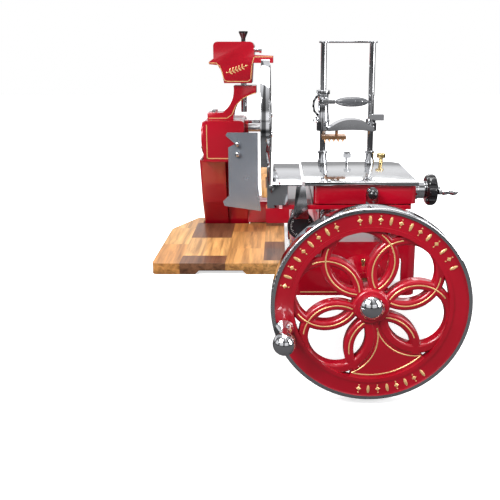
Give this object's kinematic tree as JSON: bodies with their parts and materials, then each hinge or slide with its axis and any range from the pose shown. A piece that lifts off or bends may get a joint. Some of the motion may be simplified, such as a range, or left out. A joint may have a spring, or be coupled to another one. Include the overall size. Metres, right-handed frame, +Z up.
{
  "type": "hand-turned flywheel meat slicer",
  "caption": "Red enamelled meat slicer driven by a spoked flywheel, with sliding table, clamp on posts, round knife, sharpener and wooden board.",
  "frame": {"origin": "centre of the base's bolt pattern, at the base's underside", "axes": "+Z up, +Y away from the operator along the carriage's travel, +X to the operator's right"},
  "size_m": [0.5945, 0.85, 0.633],
  "materials": {
    "red_enamel": "gloss",
    "chrome": "polished",
    "polished_steel": "polished",
    "machined_steel": "satin",
    "blade_steel": "satin",
    "bronze": "satin",
    "brass": "polished",
    "black_resin": "gloss",
    "dark_knob": "satin",
    "stone": "matt",
    "striped_wood": "oiled"
  },
  "bodies": {
    "frame": {"base_casting": "red_enamel", "shaft_bushes": "bronze", "column": "red_enamel", "gear_case": "red_enamel", "drive_head": "red_enamel", "head_cover": "red_enamel", "head_screws": "machined_steel", "idler_pins": "machined_steel", "blade_guard": "chrome", "deflector_plate": "polished_steel", "deflector_stays": "machined_steel", "sharpener_arm": "red_enamel", "rails": "chrome", "rail_brackets": "chrome", "thickness_housing": "chrome"},
    "wheel": {"flywheel": "red_enamel", "flywheel_tyre": "chrome", "hub_cap": "chrome", "main_shaft": "machined_steel", "main_bevel_gear": "machined_steel", "handle_pin": "machined_steel"},
    "wheel_handle": {"handle_grip": "chrome"},
    "cross_drive": {"cross_shaft": "machined_steel", "cross_bevel_gear": "machined_steel", "cross_gear": "machined_steel"},
    "low_idler": {"lower_idler_gear": "machined_steel"},
    "high_idler": {"upper_idler_gear": "machined_steel"},
    "knife": {"blade_shaft": "machined_steel", "blade_gear": "machined_steel", "blade": "blade_steel", "blade_hub": "polished_steel"},
    "gauge": {"gauge_plate": "chrome"},
    "thickness_dial": {"thickness_knob": "dark_knob"},
    "sharpener": {"sharpener_housing": "red_enamel", "sharpener_rod": "chrome", "sharpener_knob": "black_resin", "sharpener_pins": "machined_steel"},
    "stones": {"grinding_stones": "stone"},
    "carriage": {"lower_carriage": "red_enamel", "carriage_bearings": "chrome", "apron_plate": "chrome", "feed_nut": "bronze", "release_tab": "chrome"},
    "release": {"release_knob": "black_resin"},
    "table": {"table_body": "red_enamel", "feed_bearings": "chrome", "table_plate": "polished_steel", "posts": "chrome", "crossbar": "chrome", "fence_knob": "brass"},
    "feed": {"feed_screw": "machined_steel", "feed_handwheel": "black_resin", "crank_arm": "machined_steel"},
    "feed_grip": {"crank_grip": "chrome"},
    "clamp": {"clamp_sleeve": "chrome", "press_plate": "chrome", "clamp_spikes": "bronze"},
    "clamp_release": {"clamp_lever": "machined_steel", "clamp_grip": "black_resin"},
    "board": {"cutting_board": "striped_wood"}
  },
  "joints": [
    {"name": "flywheel_turn", "type": "hinge", "parent": "frame", "child": "wheel", "pos_m": [0.014, -0.436, 0.041], "axis": [0, 1, 0], "continuous": true},
    {"name": "handle_spin", "type": "hinge", "parent": "wheel", "child": "wheel_handle", "pos_m": [-0.13282, -0.492, 0.00166], "axis": [0, 1, 0], "continuous": true},
    {"name": "cross_shaft_turn", "type": "hinge", "parent": "frame", "child": "cross_drive", "pos_m": [-0.163, 0.24391, 0.041], "axis": [1, 0, 0], "continuous": true},
    {"name": "low_idler_turn", "type": "hinge", "parent": "frame", "child": "low_idler", "pos_m": [-0.305, 0.21286, 0.11905], "axis": [1, 0, 0], "continuous": true},
    {"name": "high_idler_turn", "type": "hinge", "parent": "frame", "child": "high_idler", "pos_m": [-0.305, 0.1744, 0.21568], "axis": [1, 0, 0], "continuous": true},
    {"name": "knife_turn", "type": "hinge", "parent": "frame", "child": "knife", "pos_m": [-0.163, 0.15, 0.277], "axis": [1, 0, 0], "continuous": true},
    {"name": "carriage_slide", "type": "slide", "parent": "frame", "child": "carriage", "axis": [0, 1, 0], "range_m": [0, 0.285]},
    {"name": "handwheel_turn", "type": "hinge", "parent": "table", "child": "feed", "pos_m": [0.1385, -0.286, 0.209], "axis": [1, 0, 0], "range_deg": [-900, 2400]},
    {"name": "table_feed", "type": "slide", "parent": "carriage", "child": "table", "axis": [1, 0, 0], "range_m": [-0.03, 0.08]},
    {"name": "feed_grip_spin", "type": "hinge", "parent": "feed", "child": "feed_grip", "pos_m": [0.168, -0.308, 0.209], "axis": [1, 0, 0], "continuous": true},
    {"name": "release_pull", "type": "slide", "parent": "carriage", "child": "release", "axis": [0, -1, 0], "range_m": [0, 0.006], "stiffness_N_per_m": 600},
    {"name": "clamp_slide", "type": "slide", "parent": "table", "child": "clamp", "axis": [0, 0, 1], "range_m": [-0.04, 0.085]},
    {"name": "clamp_lever_turn", "type": "hinge", "parent": "clamp", "child": "clamp_release", "pos_m": [-0.052, -0.136, 0.361], "axis": [1, 0, 0], "range_deg": [-10, 10]},
    {"name": "thickness_turn", "type": "hinge", "parent": "frame", "child": "thickness_dial", "pos_m": [-0.1, -0.254, 0.135], "axis": [0, 1, 0], "range_deg": [0, 330]},
    {"name": "gauge_slide", "type": "slide", "parent": "frame", "child": "gauge", "axis": [-1, 0, 0], "range_m": [0, 0.003]},
    {"name": "sharpener_slide", "type": "slide", "parent": "frame", "child": "sharpener", "axis": [0, 0, 1], "range_m": [-0.005, 0]},
    {"name": "stones_spin", "type": "hinge", "parent": "sharpener", "child": "stones", "pos_m": [-0.181, 0.13, 0.4375], "axis": [0, 1, 0], "continuous": true},
    {"name": "board_slide", "type": "slide", "parent": "frame", "child": "board", "axis": [0, -1, 0], "range_m": [0, 0.12]}
  ],
  "couplings": [
    {"joint": "cross_shaft_turn", "follows": "flywheel_turn", "ratio": -2},
    {"joint": "low_idler_turn", "follows": "flywheel_turn", "ratio": 1.2308},
    {"joint": "high_idler_turn", "follows": "flywheel_turn", "ratio": -1.2308},
    {"joint": "knife_turn", "follows": "flywheel_turn", "ratio": 4.5714},
    {"joint": "handwheel_turn", "follows": "table_feed", "rad_per_m": 523.6},
    {"joint": "thickness_turn", "follows": "gauge_slide", "rad_per_m": 1919.9}
  ]
}
